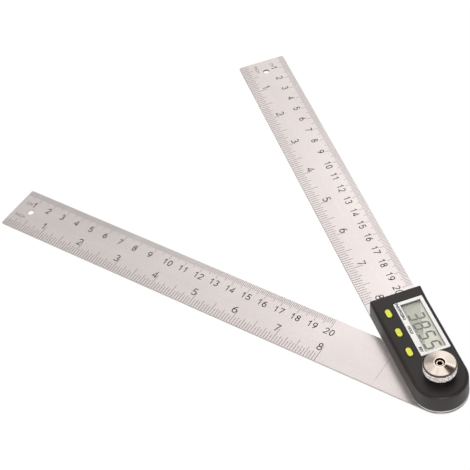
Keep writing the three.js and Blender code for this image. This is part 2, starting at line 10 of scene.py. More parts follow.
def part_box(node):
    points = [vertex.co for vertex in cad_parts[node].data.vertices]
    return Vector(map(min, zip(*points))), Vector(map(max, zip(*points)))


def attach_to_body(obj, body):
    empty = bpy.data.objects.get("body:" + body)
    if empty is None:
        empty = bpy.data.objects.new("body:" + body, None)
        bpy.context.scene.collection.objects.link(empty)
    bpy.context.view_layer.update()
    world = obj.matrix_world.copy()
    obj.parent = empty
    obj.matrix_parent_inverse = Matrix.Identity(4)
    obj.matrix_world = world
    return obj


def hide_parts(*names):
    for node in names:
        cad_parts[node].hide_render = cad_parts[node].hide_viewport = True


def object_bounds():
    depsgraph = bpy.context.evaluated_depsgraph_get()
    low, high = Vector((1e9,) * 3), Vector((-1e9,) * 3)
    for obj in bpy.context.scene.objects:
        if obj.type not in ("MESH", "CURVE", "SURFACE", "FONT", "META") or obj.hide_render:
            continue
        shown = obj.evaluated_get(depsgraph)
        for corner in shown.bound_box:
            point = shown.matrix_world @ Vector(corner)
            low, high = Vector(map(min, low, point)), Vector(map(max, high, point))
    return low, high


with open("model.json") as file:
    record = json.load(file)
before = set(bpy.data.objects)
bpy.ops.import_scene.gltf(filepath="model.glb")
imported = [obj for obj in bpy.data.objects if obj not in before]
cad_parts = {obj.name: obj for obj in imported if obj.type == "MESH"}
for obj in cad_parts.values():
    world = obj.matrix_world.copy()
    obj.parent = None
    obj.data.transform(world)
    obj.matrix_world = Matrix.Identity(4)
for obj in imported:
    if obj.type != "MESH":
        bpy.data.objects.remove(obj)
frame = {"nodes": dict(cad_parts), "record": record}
cad_low, cad_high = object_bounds()

MM = 0.001
INCH = 25.4 * MM


def middle_of(node):
    low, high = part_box(node)
    return (low + high) / 2


# Sizes and places read from the frame
BLADE_LOW, BLADE_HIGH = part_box("display_blade")
HALF_WIDTH = BLADE_HIGH.y
REACH = BLADE_HIGH.x
UPPER_BOTTOM, UPPER_TOP = BLADE_LOW.z, BLADE_HIGH.z
LOWER_BOTTOM, LOWER_TOP = (corner.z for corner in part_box("lower_blade"))
COVER_END, _, COVER_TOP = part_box("front_cover")[1]
STUD_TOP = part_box("pivot_shaft")[1].z
LCD_BOTTOM, LCD_TOP = (corner.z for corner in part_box("lcd_glass"))
LABEL_LOW, LABEL_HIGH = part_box("window_label")
LENS_LOW, LENS_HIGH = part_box("lcd_lens")
DOOR = middle_of("battery_door")
SCREWS = [middle_of(f"cover_screw_{i}").xy for i in (1, 2, 3, 4)]
KEY_NUMBERS = (1, 2, 3)
MOUNTS = {mount["name"]: mount for mount in frame["record"]["mounts"]}
OUTWARD = MOUNTS["lower_arm_outer_edge"]["axis"]
OPEN_ANGLE = math.atan2(-OUTWARD[0], OUTWARD[1])
LOWER_ARM = Matrix.Rotation(OPEN_ANGLE, 4, "Z")
DISPLAY_ARM = Matrix.Identity(4)

# Smoothness of the meshes
ARC_STEPS = 64
HOLE_STEPS = 48
CORNER_STEPS = 6
SMOOTH_ANGLE = 35.0

# The least that an offset is divided by, where a loop or a stroke turns sharply
LOOP_MITRE = 0.3
STROKE_MITRE = 0.5


# Outlines
def curved(x, y, rx, ry, start, end, steps=14):
    """Points on an ellipse's arc, angles in degrees."""
    points = []
    for i in range(steps + 1):
        angle = math.radians(start + (end - start) * i / steps)
        points.append((x + rx * math.cos(angle), y + ry * math.sin(angle)))
    return points


def arc(x, y, radius, start, end, steps):
    return curved(x, y, radius, radius, start, end, steps)


def circle(x, y, radius):
    return arc(x, y, radius, 0, 360, HOLE_STEPS)[:-1]


def rectangle(low, high, radius, steps=CORNER_STEPS):
    """A rectangle with rounded corners, counter-clockwise."""
    outline = arc(high.x - radius, low.y + radius, radius, -90, 0, steps)
    outline += arc(high.x - radius, high.y - radius, radius, 0, 90, steps)
    outline += arc(low.x + radius, high.y - radius, radius, 90, 180, steps)
    outline += arc(low.x + radius, low.y + radius, radius, 180, 270, steps)
    return outline


def grown(low, high, margin):
    step = Vector((margin, margin, 0))
    return low - step, high + step


def at_height(outline, z):
    return [(x, y, z) for x, y in outline]


def shrunk(loop, distance):
    """A counter-clockwise loop drawn in by a distance. A clockwise one grows."""
    moved = []
    for i, (x, y) in enumerate(loop):
        before = Vector(loop[i - 1])
        after = Vector(loop[(i + 1) % len(loop)])
        here = Vector((x, y))
        a = (here - before).normalized()
        b = (after - here).normalized()
        bisector = Vector((-a.y - b.y, a.x + b.x)).normalized()
        reach = distance / max(LOOP_MITRE, bisector.dot(Vector((-a.y, a.x))))
        moved.append((x + bisector.x * reach, y + bisector.y * reach))
    return moved


# Meshes
def link(name, data):
    thing = bpy.data.objects.new(name, data)
    bpy.context.scene.collection.objects.link(thing)
    return thing


def mesh_object(name, vertices, faces, material, smooth_angle=SMOOTH_ANGLE):
    mesh = bpy.data.meshes.new(name)
    mesh.from_pydata([tuple(v) for v in vertices], [], faces)
    mesh.update()
    mesh.shade_smooth()
    mesh.set_sharp_from_angle(angle=math.radians(smooth_angle))
    mesh.materials.append(material)
    return link(name, mesh)


def winding(vertices, a, b, c):
    """Above zero where three corners run counter-clockwise, seen from above."""
    ax, ay, _ = vertices[a]
    bx, by, _ = vertices[b]
    cx, cy, _ = vertices[c]
    return (bx - ax) * (cy - ay) - (cx - ax) * (by - ay)


def plate(name, outline, holes, low, high, edge, material, wall, bore=None):
    """A flat plate with chamfered rims, and holes given counter-clockwise."""
    loops = [outline] + [hole[::-1] for hole in holes]
    levels = [(low, edge), (low + edge, 0), (high - edge, 0), (high, edge)]
    vertices, faces, starts = [], [], []
    for z, inset in levels:
        for loop in loops:
            starts.append(len(vertices))
            vertices += at_height(shrunk(loop, inset), z)
    walls, bores = [], []
    for level in range(len(levels) - 1):
        for k, loop in enumerate(loops):
            band = range(len(faces), len(faces) + len(loop))
            if k > 0:
                bores += band
            elif level == 1:
                walls += band
            here = starts[level * len(loops) + k]
            above = starts[(level + 1) * len(loops) + k]
            for i in range(len(loop)):
                j = (i + 1) % len(loop)
                faces.append((here + i, here + j, above + j, above + i))
    flat = [[Vector((x, y, 0)) for x, y in shrunk(loop, edge)] for loop in loops]
    lid = starts[(len(levels) - 1) * len(loops)]
    for a, b, c in tessellate_polygon(flat):
        up = (a, b, c) if winding(vertices, a, b, c) > 0 else (a, c, b)
        faces.append(tuple(lid + i for i in up))
        faces.append(tuple(reversed(up)))
    made = mesh_object(name, vertices, faces, material)
    for index, (surface, band) in enumerate(((wall, walls), (bore or wall, bores)), 1):
        made.data.materials.append(surface)
        for face in band:
            made.data.polygons[face].material_index = index
    return made


def loft(name, rings, material, angle=SMOOTH_ANGLE):
    """A closed skin over rings of points, each ring with as many points as the next."""
    count = len(rings[0])
    vertices = [point for ring in rings for point in ring]
    faces = [tuple(reversed(range(count)))]
    faces.append(tuple(range(count * (len(rings) - 1), count * len(rings))))
    for r in range(len(rings) - 1):
        for i in range(count):
            j = (i + 1) % count
            a, b = r * count, (r + 1) * count
            faces.append((a + i, a + j, b + j, b + i))
    return mesh_object(name, vertices, faces, material, angle)


def cut(body, cutters):
    """Takes the cutters out of the body for good."""
    for cutter in cutters:
        step = body.modifiers.new("cut", "BOOLEAN")
        step.operation = "DIFFERENCE"
        step.solver = "EXACT"
        step.object = cutter
    depsgraph = bpy.context.evaluated_depsgraph_get()
    made = bpy.data.meshes.new_from_object(body.evaluated_get(depsgraph))
    body.modifiers.clear()
    body.data = made
    made.shade_smooth()
    made.set_sharp_from_angle(angle=math.radians(SMOOTH_ANGLE))
    for cutter in cutters:
        bpy.data.objects.remove(cutter)


def prisms(name, outlines, low, high, material):
    """Upright prisms as one mesh, over counter-clockwise outlines."""
    vertices, faces = [], []
    for outline in outlines:
        n = len(vertices)
        count = len(outline)
        vertices += at_height(outline, low) + at_height(outline, high)
        faces.append(tuple(n + i for i in reversed(range(count))))
        faces.append(tuple(n + count + i for i in range(count)))
        for i in range(count):
            j = (i + 1) % count
            faces.append((n + i, n + j, n + count + j, n + count + i))
    return mesh_object(name, vertices, faces, material)


def bar(x0, x1, y0, y1):
    return [(x0, y0), (x1, y0), (x1, y1), (x0, y1)]


# Print
INK_HEIGHT = 0.02 * MM
INK_SINK = 0.01 * MM
WORD_HALF_DEPTH = 0.5
WORD_CURVE_STEPS = 3
SAME_POINT = 1e-6
DIGIT_CELL = 0.6
DIGIT_SPACE = 0.28
SIX_STEM = curved(0.62, 0.36, 0.6, 0.64, 105, 180, 8)
SIX_BOWL = curved(0.3, 0.3, 0.28, 0.3, 0, 360)

# Strokes of each digit, in a cell one unit tall and DIGIT_CELL wide
DIGIT_STROKES = {
    "0": [curved(0.3, 0.5, 0.28, 0.5, 0, 360, 20)],
    "1": [[(0.06, 0.76), (0.34, 1), (0.34, 0)]],
    "2": [curved(0.3, 0.72, 0.27, 0.28, 170, -38) + [(0.02, 0), (0.6, 0)]],
    "3": [curved(0.28, 0.76, 0.25, 0.24, 155, -90), curved(0.28, 0.26, 0.28, 0.26, 90, -155)],
    "4": [[(0.45, 0), (0.45, 1), (0, 0.27), (0.6, 0.27)]],
    "5": [[(0.54, 1), (0.13, 1), (0.08, 0.53)] + curved(0.29, 0.31, 0.29, 0.31, 125, -150)],
    "6": [SIX_STEM, SIX_BOWL],
    "7": [[(0, 1), (0.6, 1), (0.2, 0)]],
    "8": [curved(0.3, 0.76, 0.23, 0.24, 0, 360), curved(0.3, 0.26, 0.28, 0.26, 0, 360)],
    "9": [[(DIGIT_CELL - u, 1 - v) for u, v in stroke] for stroke in (SIX_STEM, SIX_BOWL)],
}


def stroke_sides(points, width):
    """The two edges of a stroke, mitred at its bends, and whether it closes on itself."""
    closed = math.dist(points[0], points[-1]) < SAME_POINT
    if closed:
        points = points[:-1]
    left, right = [], []
    for i, (x, y) in enumerate(points):
        before = points[i - 1] if closed or i > 0 else None
        after = points[(i + 1) % len(points)] if closed or i + 1 < len(points) else None
        here = Vector((x, y))
        a = (here - Vector(before)).normalized() if before else None
        b = (Vector(after) - here).normalized() if after else None
        a, b = a or b, b or a
        bisector = Vector((-a.y - b.y, a.x + b.x)).normalized()
        reach = width / 2 / max(STROKE_MITRE, bisector.dot(Vector((-a.y, a.x))))
        left.append((x + bisector.x * reach, y + bisector.y * reach))
        right.append((x - bisector.x * reach, y - bisector.y * reach))
    return left, right, closed


def add_stroke(vertices, faces, left, right, closed, low, high):
    """Adds a flat bar that follows a stroke's two edges."""
    n = len(vertices)
    count = len(left)
    for side in (left, right):
        vertices += at_height(side, low) + at_height(side, high)
    left_low, left_high, right_low, right_high = (n + count * i for i in range(4))
    for i in range(count if closed else count - 1):
        j = (i + 1) % count
        faces.append((left_high + j, left_high + i, right_high + i, right_high + j))
        faces.append((left_low + i, left_low + j, right_low + j, right_low + i))
        faces.append((left_low + j, left_low + i, left_high + i, left_high + j))
        faces.append((right_low + i, right_low + j, right_high + j, right_high + i))
    if not closed:
        e = count - 1
        faces.append((left_low, right_low, right_high, left_high))
        faces.append((right_low + e, left_low + e, left_high + e, right_high + e))


def numbers(name, words, top, material, width):
    """Stroked numbers as one mesh on a face, each (text, height, x, y) about its middle, read along -X."""
    vertices, faces = [], []
    pitch = DIGIT_CELL + DIGIT_SPACE
    for text, height, x, y in words:
        start = -(pitch * (len(text) - 1) + DIGIT_CELL) / 2
        for k, digit in enumerate(text):
            for stroke in DIGIT_STROKES[digit]:
                path = [((start + pitch * k + u) * height, (v - 0.5) * height) for u, v in stroke]
                left, right, closed = stroke_sides(path, width)
                left, right = ([(x - u, y - v) for u, v in side] for side in (left, right))
                add_stroke(vertices, faces, left, right, closed, top - INK_SINK, top + INK_HEIGHT)
    return mesh_object(name, vertices, faces, material)


def lettering(name, words, top, material, weight=0):
    """Flat words as one mesh on a face, each (text, height, x, y) about its middle, read along -X."""
    pieces = bmesh.new()
    depth = INK_HEIGHT + INK_SINK
    for text, height, x, y in words:
        curve = bpy.data.curves.new(name, "FONT")
        curve.body = text
        curve.offset = weight
        curve.extrude = WORD_HALF_DEPTH
        curve.resolution_u = WORD_CURVE_STEPS
        holder = link(name, curve)
        bpy.context.view_layer.update()
        depsgraph = bpy.context.evaluated_depsgraph_get()
        made = bpy.data.meshes.new_from_object(holder.evaluated_get(depsgraph))
        xs = [v.co.x for v in made.vertices]
        ys = [v.co.y for v in made.vertices]
        middle = Vector(((min(xs) + max(xs)) / 2, (min(ys) + max(ys)) / 2, 0))
        size = height / (max(ys) - min(ys))
        turn = Matrix.Rotation(math.pi, 4, "Z")
        shape = Matrix.Diagonal((size, size, depth / (2 * WORD_HALF_DEPTH), 1))
        move = Matrix.Translation((x, y, top - INK_SINK + depth / 2))
        made.transform(move @ turn @ shape @ Matrix.Translation(-middle))
        pieces.from_mesh(made)
        bpy.data.objects.remove(holder)
        bpy.data.curves.remove(curve)
        bpy.data.meshes.remove(made)
    mesh = bpy.data.meshes.new(name)
    pieces.to_mesh(mesh)
    pieces.free()
    mesh.materials.clear()
    mesh.materials.append(material)
    return link(name, mesh)


# Nodes: most of a noise lies between these two
NOISE_LOW, NOISE_HIGH = 0.3, 0.7


def feed(tree, node, values):
    """Fills a node's inputs: each value is another node's output, a number or a colour."""
    for key, value in values.items():
        if isinstance(value, bpy.types.NodeSocket):
            tree.links.new(value, node.inputs[key])
        else:
            node.inputs[key].default_value = value


def new_node(tree, kind, values=None):
    node = tree.nodes.new(kind)
    feed(tree, node, values or {})
    return node


def computed(tree, operation, *values, kind="ShaderNodeMath"):
    """A math node over its values."""
    node = tree.nodes.new(kind)
    node.operation = operation
    feed(tree, node, dict(enumerate(values)))
    return node


def noise(tree, scale, stretch=(1, 1, 1), detail=4.0):
    """A noise over the object's own space, scaled in cycles per metre."""
    space = new_node(tree, "ShaderNodeTexCoord").outputs["Object"]
    mapping = new_node(tree, "ShaderNodeMapping", {"Vector": space, "Scale": stretch})
    values = {"Vector": mapping.outputs["Vector"], "Scale": scale, "Detail": detail}
    return new_node(tree, "ShaderNodeTexNoise", values).outputs["Fac"]


def ramp(tree, source, stops):
    """A colour ramp over a source. Each stop is (place, colour), or (place, level) for a grey."""
    node = new_node(tree, "ShaderNodeValToRGB", {"Fac": source})
    elements = node.color_ramp.elements
    while len(elements) < len(stops):
        elements.new(0.5)
    for element, (place, colour) in zip(elements, stops):
        element.position = place
        element.color = (*colour, 1) if isinstance(colour, tuple) else (colour, colour, colour, 1)
    return node.outputs["Color"]


def between(tree, source, low, high):
    """A source of 0 to 1, spread from low to high."""
    values = {"Value": source, "To Min": low, "To Max": high}
    return new_node(tree, "ShaderNodeMapRange", values).outputs["Result"]


def rise(tree, source, low, high):
    """0 up to low, 1 from high on, and a straight rise in between."""
    values = {"Value": source, "From Min": low, "From Max": high}
    return new_node(tree, "ShaderNodeMapRange", values).outputs["Result"]


def mixed(tree, factor, first, second, blend="MIX"):
    node = tree.nodes.new("ShaderNodeMix")
    node.data_type = "RGBA"
    node.blend_type = blend
    feed(tree, node, {"Factor": factor, "A": first, "B": second})
    return node.outputs["Result"]


def multiplied(tree, first, second):
    return mixed(tree, 1, first, second, "MULTIPLY")


def scaled(colour, factor):
    return tuple(min(1.0, c * factor) for c in colour)


def mottled(tree, cloud, colour, low, high=1):
    """A colour that a cloud varies, from low times to high times itself."""
    return ramp(tree, cloud, [(NOISE_LOW, scaled(colour, low)), (NOISE_HIGH, scaled(colour, high))])


def bump(tree, shader, source, distance, strength):
    values = {"Height": source, "Distance": distance, "Strength": strength}
    feed(tree, shader, {"Normal": new_node(tree, "ShaderNodeBump", values).outputs["Normal"]})


# Materials
GROOVE_PITCH = 2 * math.pi * 0.12 * MM
THREAD_ROOT = 1.75 * MM
THREAD_LENGTH = 10.0 * MM
THREAD_FADE = 0.1 * MM
SOCKET_DEPTH = 1.7 * MM

# At a scale of 1, a wave texture turns by this many radians in each unit of length
WAVE_RADIANS = 20


def new_material(name):
    """A material, its node tree and its shader."""
    material = bpy.data.materials.new(name)
    material.use_nodes = True
    tree = material.node_tree
    return material, tree, tree.nodes["Principled BSDF"]


def brushed_steel(name, colour, low_rough, high_rough):
    """Rule steel brushed along the arm: long streaks along the object's X."""
    material, tree, shader = new_material(name)
    streaks = noise(tree, 900, (0.02, 1, 1), 6)
    shade = mottled(tree, noise(tree, 45, (0.5, 1, 1), 3), colour, 0.955, 1.03)
    grain = ramp(tree, streaks, [(NOISE_LOW, 0.955), (NOISE_HIGH, 1)])
    speckle = ramp(tree, noise(tree, 1300), [(0.35, 0.94), (0.65, 1)])
    direction = tree.nodes.new("ShaderNodeVectorTransform")
    direction.vector_type = "VECTOR"
    direction.convert_from = "OBJECT"
    direction.convert_to = "WORLD"
    feed(tree, direction, {"Vector": (1, 0, 0)})
    feed(tree, shader, {
        "Metallic": 1,
        "Anisotropic": 0.55,
        "Tangent": direction.outputs["Vector"],
        "Base Color": multiplied(tree, multiplied(tree, shade, grain), speckle),
        "Roughness": between(tree, streaks, low_rough, high_rough),
    })
    bump(tree, shader, streaks, 0.01 * MM, 0.25)
    return material


def turned_metal(name, colour, rough, anisotropy):
    """Metal turned on a lathe: fine rings about the pivot axis."""
    material, tree, shader = new_material(name)
    tangent = tree.nodes.new("ShaderNodeTangent")
    tangent.direction_type = "RADIAL"
    tangent.axis = "Z"
    wave = tree.nodes.new("ShaderNodeTexWave")
    wave.wave_type = "RINGS"
    wave.rings_direction = "Z"
    space = new_node(tree, "ShaderNodeTexCoord").outputs["Object"]
    scale = 2 * math.pi / (WAVE_RADIANS * GROOVE_PITCH)
    feed(tree, wave, {"Vector": space, "Scale": scale, "Distortion": 0.4})
    rings = wave.outputs["Fac"]
    feed(tree, shader, {
        "Metallic": 1,
        "Anisotropic": anisotropy,
        "Tangent": tangent.outputs["Tangent"],
        "Base Color": mottled(tree, noise(tree, 260, detail=3), colour, 0.94),
        "Roughness": between(tree, rings, rough * 0.8, rough * 1.3),
    })
    bump(tree, shader, rings, 0.004 * MM, 0.3)
    return material


def knurled_metal(name, colour, rough):
    """Bright plated metal with fine dark specks: painted shade for the pits of a fine crossed knurl."""
    material, tree, shader = new_material(name)
    cells = noise(tree, 1500, detail=1)
    feed(tree, shader, {
        "Metallic": 0.1,
        "Base Color": ramp(tree, cells, [(0.4, scaled(colour, 0.36)), (0.5, colour)]),
        "Roughness": rough,
    })
    bump(tree, shader, cells, 0.15 * MM, 0.8)
    return material


def plain_metal(name, colour, rough):
    material, tree, shader = new_material(name)
    cloud = noise(tree, 700)
    feed(tree, shader, {
        "Metallic": 1,
        "Base Color": mottled(tree, cloud, colour, 0.88),
        "Roughness": between(tree, cloud, rough * 0.8, rough * 1.25),
    })
    return material


def stud_metal(name, colour, painted_shade, rough):
    """Plain metal with painted shade: dark beyond the thread's root about the pivot axis over the thread's
    length, and down the socket in the stud's end.
    """
    material, tree, shader = new_material(name)
    space = new_node(tree, "ShaderNodeTexCoord").outputs["Object"]
    height = new_node(tree, "ShaderNodeSeparateXYZ", {"Vector": space}).outputs["Z"]
    flat = computed(tree, "MULTIPLY", space, (1, 1, 0), kind="ShaderNodeVectorMath")
    radius = computed(tree, "LENGTH", flat.outputs["Vector"], kind="ShaderNodeVectorMath")
    outer = rise(tree, radius.outputs["Value"], THREAD_ROOT - THREAD_FADE, THREAD_ROOT)
    thread_end = STUD_TOP - THREAD_LENGTH
    threaded = rise(tree, height, thread_end - THREAD_FADE, thread_end)
    thread_shade = computed(tree, "MULTIPLY", outer, threaded).outputs["Value"]
    depth = rise(tree, height, STUD_TOP - SOCKET_DEPTH, STUD_TOP)
    socket_shade = ramp(tree, depth, [(0, 1), (0.02, painted_shade), (0.82, painted_shade), (0.94, 1)])
    feed(tree, shader, {
        "Metallic": 1,
        "Base Color": multiplied(tree, ramp(tree, thread_shade, [(0, colour), (1, painted_shade)]), socket_shade),
        "Roughness": between(tree, noise(tree, 700), rough * 0.8, rough * 1.25),
    })
    return material


def moulded(name, colour, rough, grain=0.02 * MM, spread=0.1, gloss=0.5):
    """Moulded plastic with a fine spark-eroded grain."""
    material, tree, shader = new_material(name)
    texture = noise(tree, 2600, detail=2)
    feed(tree, shader, {
        "Base Color": mottled(tree, noise(tree, 60, detail=3), colour, 1 - spread, 1 + spread),
        "Roughness": between(tree, texture, rough * 0.9, rough * 1.1),
        "Specular IOR Level": gloss,
    })
    bump(tree, shader, texture, grain, 0.25)
    return material


def smooth_film(name, colour, rough, grain=0.004 * MM, spread=0.02):
    return moulded(name, colour, rough, grain, spread)


def key_plastic(name, top, side):
    """Bright moulded plastic whose steep sides are painted dark olive: painted shade round the rim of each
    key.
    """
    material, tree, shader = new_material(name)
    texture = noise(tree, 2200, detail=2)
    normal = new_node(tree, "ShaderNodeTexCoord").outputs["Normal"]
    slope_of_painted_shade = new_node(tree, "ShaderNodeSeparateXYZ", {"Vector": normal}).outputs["Z"]
    feed(tree, shader, {
        "Base Color": ramp(tree, slope_of_painted_shade, [(0.82, side), (0.955, top)]),
        "Roughness": between(tree, texture, 0.3, 0.4),
    })
    bump(tree, shader, texture, 0.006 * MM, 0.25)
    return material


def printed(name, colour, rough=0.6):
    """Ink or etching: a flat dark with a little unevenness."""
    material, tree, shader = new_material(name)
    feed(tree, shader, {
        "Base Color": mottled(tree, noise(tree, 1500, detail=3), colour, 0.8, 1.2),
        "Roughness": rough,
        "Specular IOR Level": 0.2,
    })
    return material


def clear_lens(name):
    material, tree, shader = new_material(name)
    feed(tree, shader, {
        "Base Color": (0.85, 0.86, 0.85, 1),
        "Roughness": between(tree, noise(tree, 400, detail=2), 0.03, 0.06),
        "Alpha": 0.07,
    })
    return material


STEEL = brushed_steel("brushed_rule_steel", (0.81, 0.74, 0.72), 0.26, 0.36)
NICKEL = turned_metal("turned_nickel", (0.62, 0.535, 0.47), 0.08, 0.2)
# A dark copy of the knob's nickel: painted shade for the dark crescent along its upper bevel.
PAINTED_DARK_BEVEL = turned_metal("turned_nickel_bevel_painted_shade", (0.1, 0.08, 0.07), 0.15, 0.3)
KNURL = knurled_metal("knurled_nickel", (0.95, 0.88, 0.86), 0.25)
# The blades' edges: rougher, as a sheared edge is, and a little darker than the steel as painted shade.
SHEARED_SHADED_EDGE = plain_metal("sheared_steel_painted_shade", (0.72, 0.68, 0.66), 0.5)
# Painted shade: the walls of the upper blade's holes are near black.
SHADED_HOLE_WALL = plain_metal("drilled_steel_painted_shade", (0.12, 0.11, 0.105), 0.5)
# Painted shade: the thread, the socket and the washer under the knob take the dark colour.
STUD = stud_metal("stud_steel_painted_shade", (0.6, 0.51, 0.44), (0.1, 0.065, 0.045), 0.2)
SPRING = plain_metal("spring_steel", (0.6, 0.6, 0.6), 0.3)
BRONZE = plain_metal("bush_bronze", (0.62, 0.42, 0.2), 0.35)
CHARCOAL = moulded("charcoal_moulding", (0.021, 0.0165, 0.015), 0.42, gloss=0.38)
ACETAL = moulded("black_acetal", (0.012, 0.012, 0.012), 0.45)
LABEL = smooth_film("label_silver", (0.94, 0.91, 0.885), 0.45)
LABEL_LINE = smooth_film("label_white", (0.95, 0.93, 0.91), 0.4)
LENS = clear_lens("clear_lens")
PANEL = smooth_film("display_panel", (0.8, 0.79, 0.675), 0.3, 0.002 * MM, 0.03)
LINING = smooth_film("window_lining", (0.27, 0.265, 0.25), 0.45)
SEGMENT = printed("display_segment", (0.15, 0.16, 0.135), 0.4)
# A painted shadow of the digits, cast on the panel behind them
SEGMENT_SHADE = printed("display_segment_shade", (0.42, 0.45, 0.37), 0.4)
# The second colour is painted shade on the keys' steep sides.
KEY = key_plastic("key_yellow_green_painted_shade", (0.8, 0.81, 0.08), (0.1, 0.105, 0.012))
NUMERAL = printed("numeral_ink", (0.012, 0.009, 0.008))
TICK = printed("tick_etch", (0.17, 0.135, 0.125))
FINE_TICK = printed("fine_tick_etch", (0.15, 0.14, 0.135))
UNIT_INK = printed("unit_ink", (0.2, 0.17, 0.16))
LABEL_INK = printed("label_ink", (0.06, 0.053, 0.05))
FAINT_LINE_GREY = printed("faint_grey_line", (0.36, 0.33, 0.31))
BOARD = moulded("solder_mask", (0.02, 0.16, 0.05), 0.35)
EPOXY = moulded("chip_epoxy", (0.015, 0.015, 0.015), 0.5)
ELASTOMER = moulded("striped_elastomer", (0.3, 0.31, 0.33), 0.7)

NODE_MATERIALS = {
    "rule_steel": STEEL,
    "turned_steel": STUD,
    "spring_steel": SPRING,
    "bush_bronze": BRONZE,
    "housing_plastic": CHARCOAL,
    "black_acetal": ACETAL,
    "label_film": LABEL,
    "lens_clear": LENS,
    "lcd_panel": PANEL,
    "elastomer": ELASTOMER,
    "circuit_board": BOARD,
    "chip_epoxy": EPOXY,
    "key_yellow": KEY,
}


def dress_nodes():
    for entry in frame["record"]["subparts"]:
        mesh = frame["nodes"][entry["node"]].data
        material = NODE_MATERIALS[entry["material_slot"]]
        if not mesh.materials:
            mesh.materials.append(material)
        for i in range(len(mesh.materials)):
            mesh.materials[i] = material


def attach(piece, body, turn=DISPLAY_ARM, stands_for=()):
    """Turns a piece into its arm's place, hangs it on its body, and hides the nodes that it stands for."""
    piece.matrix_world = turn @ piece.matrix_world
    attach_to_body(piece, body)
    if stands_for:
        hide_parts(*stands_for)


# Blades
BLADE_EDGE = 0.12 * MM
CORNER_RADIUS = 1.0 * MM
HANG_HOLE_RADIUS = 1.7 * MM
HANG_HOLE_INSET = 10.0 * MM
SHAFT_HOLE_RADIUS = 5.0 * MM
BUSH_HOLE_RADIUS = 6.45 * MM
DOOR_HOLE_RADIUS = 11.6 * MM
SCREW_HOLE_RADIUS = 1.75 * MM


def blade(name, holes, low, high, *walls):
    """A rule with its hang hole: walls are the metals of its edge, and of its holes if they differ."""
    r = CORNER_RADIUS
    outline = arc(REACH - r, -HALF_WIDTH + r, r, -90, 0, CORNER_STEPS)
    outline += arc(REACH - r, HALF_WIDTH - r, r, 0, 90, CORNER_STEPS)
    outline += arc(0, 0, HALF_WIDTH, 90, 270, ARC_STEPS)
    holes = [circle(REACH - HANG_HOLE_INSET, 0, HANG_HOLE_RADIUS)] + holes
    return plate(name, outline, holes, low, high, BLADE_EDGE, STEEL, *walls)


def make_blades():
    holes = [circle(0, 0, SHAFT_HOLE_RADIUS)]
    lower = blade("lower_rule", holes, LOWER_BOTTOM, LOWER_TOP, SHEARED_SHADED_EDGE)
    attach(lower, "lower_arm", LOWER_ARM, ["lower_blade"])
    holes = [circle(0, 0, BUSH_HOLE_RADIUS), circle(DOOR.x, DOOR.y, DOOR_HOLE_RADIUS)]
    holes += [circle(x, y, SCREW_HOLE_RADIUS) for x, y in SCREWS]
    upper = blade("upper_rule", holes, UPPER_BOTTOM, UPPER_TOP, SHEARED_SHADED_EDGE, SHADED_HOLE_WALL)
    attach(upper, "display_arm", DISPLAY_ARM, ["display_blade"])


# Printed scales: a tick's length goes by the largest step that divides its number
CM_COUNT = 20
CM_PARTS = 10
CM_TICKS = {10: 6.0 * MM, 5: 5.0 * MM, 1: 3.6 * MM}
CM_DIGIT = 3.5 * MM
CM_DIGIT_INSET = 8.6 * MM
CM_DIGIT_BACK = 1.2 * MM
CM_PAIR_ON = 0.7 * MM
INCH_COUNT = 8
INCH_PARTS = 16
INCH_TICKS = {16: 9.4 * MM, 8: 8.2 * MM, 4: 6.4 * MM, 2: 5.4 * MM, 1: 4.6 * MM}
INCH_DIGIT = 4.1 * MM
INCH_DIGIT_INSET = 9.1 * MM
INCH_DIGIT_BACK = 1.7 * MM
NUMERAL_STROKE = 0.5 * MM
TICK_WIDTH = 0.24 * MM
FINE_TICK_WIDTH = 0.2 * MM
FAINT_LINE_PLACE = 30.0 * MM
FAINT_LINE_SPAN = (-4.5 * MM, 9.6 * MM)
UNIT_SIZE = 1.9 * MM
UNIT_WORDS = [
    ("CM", UNIT_SIZE, REACH - 5.4 * MM, -5.0 * MM),
    ("INCH", UNIT_SIZE, REACH - 6.0 * MM, 4.6 * MM),
]


def tick_bars(count, pitch, lengths, width, side):
    """Bars from the arm's free end on. Side is 1 for its +Y edge and -1 for its -Y edge."""
    bars = []
    for i in range(1, count + 1):
        x = REACH - i * pitch
        length = next(length for step, length in lengths.items() if i % step == 0)
        ends = sorted(side * (HALF_WIDTH - inset) for inset in (length, 2 * BLADE_EDGE))
        bars.append(bar(x - width / 2, x + width / 2, *ends))
    return bars


def numerals():
    words = []
    for i in range(1, CM_COUNT + 1):
        shift = CM_PAIR_ON if i > 9 else -CM_DIGIT_BACK
        words.append((str(i), CM_DIGIT, REACH - i * 10 * MM - shift, CM_DIGIT_INSET - HALF_WIDTH))
    for i in range(1, INCH_COUNT + 1):
        x = REACH - i * INCH + INCH_DIGIT_BACK
        words.append((str(i), INCH_DIGIT, x, HALF_WIDTH - INCH_DIGIT_INSET))
    return words


def print_scales(prefix, top, body, turn):
    inch_bars = tick_bars(INCH_COUNT * INCH_PARTS, INCH / INCH_PARTS, INCH_TICKS, TICK_WIDTH, 1)
    cm_bars = tick_bars(CM_COUNT * CM_PARTS, MM, CM_TICKS, FINE_TICK_WIDTH, -1)
    low, high = top - INK_SINK, top + INK_HEIGHT
    pieces = [
        prisms(f"{prefix}_inch_ticks", inch_bars, low, high, TICK),
        prisms(f"{prefix}_cm_ticks", cm_bars, low, high, FINE_TICK),
        numbers(f"{prefix}_numerals", numerals(), top, NUMERAL, NUMERAL_STROKE),
        lettering(f"{prefix}_units", UNIT_WORDS, top, UNIT_INK),
    ]
    for piece in pieces:
        attach(piece, body, turn)


def scribe_line():
    """A faint grey line across the lower blade, beside the housing."""
    half = FINE_TICK_WIDTH / 2
    line = bar(FAINT_LINE_PLACE - half, FAINT_LINE_PLACE + half, *FAINT_LINE_SPAN)
    made = prisms("faint_blade_line", [line], LOWER_TOP - INK_SINK, LOWER_TOP + INK_HEIGHT, FAINT_LINE_GREY)
    attach(made, "lower_arm", LOWER_ARM)


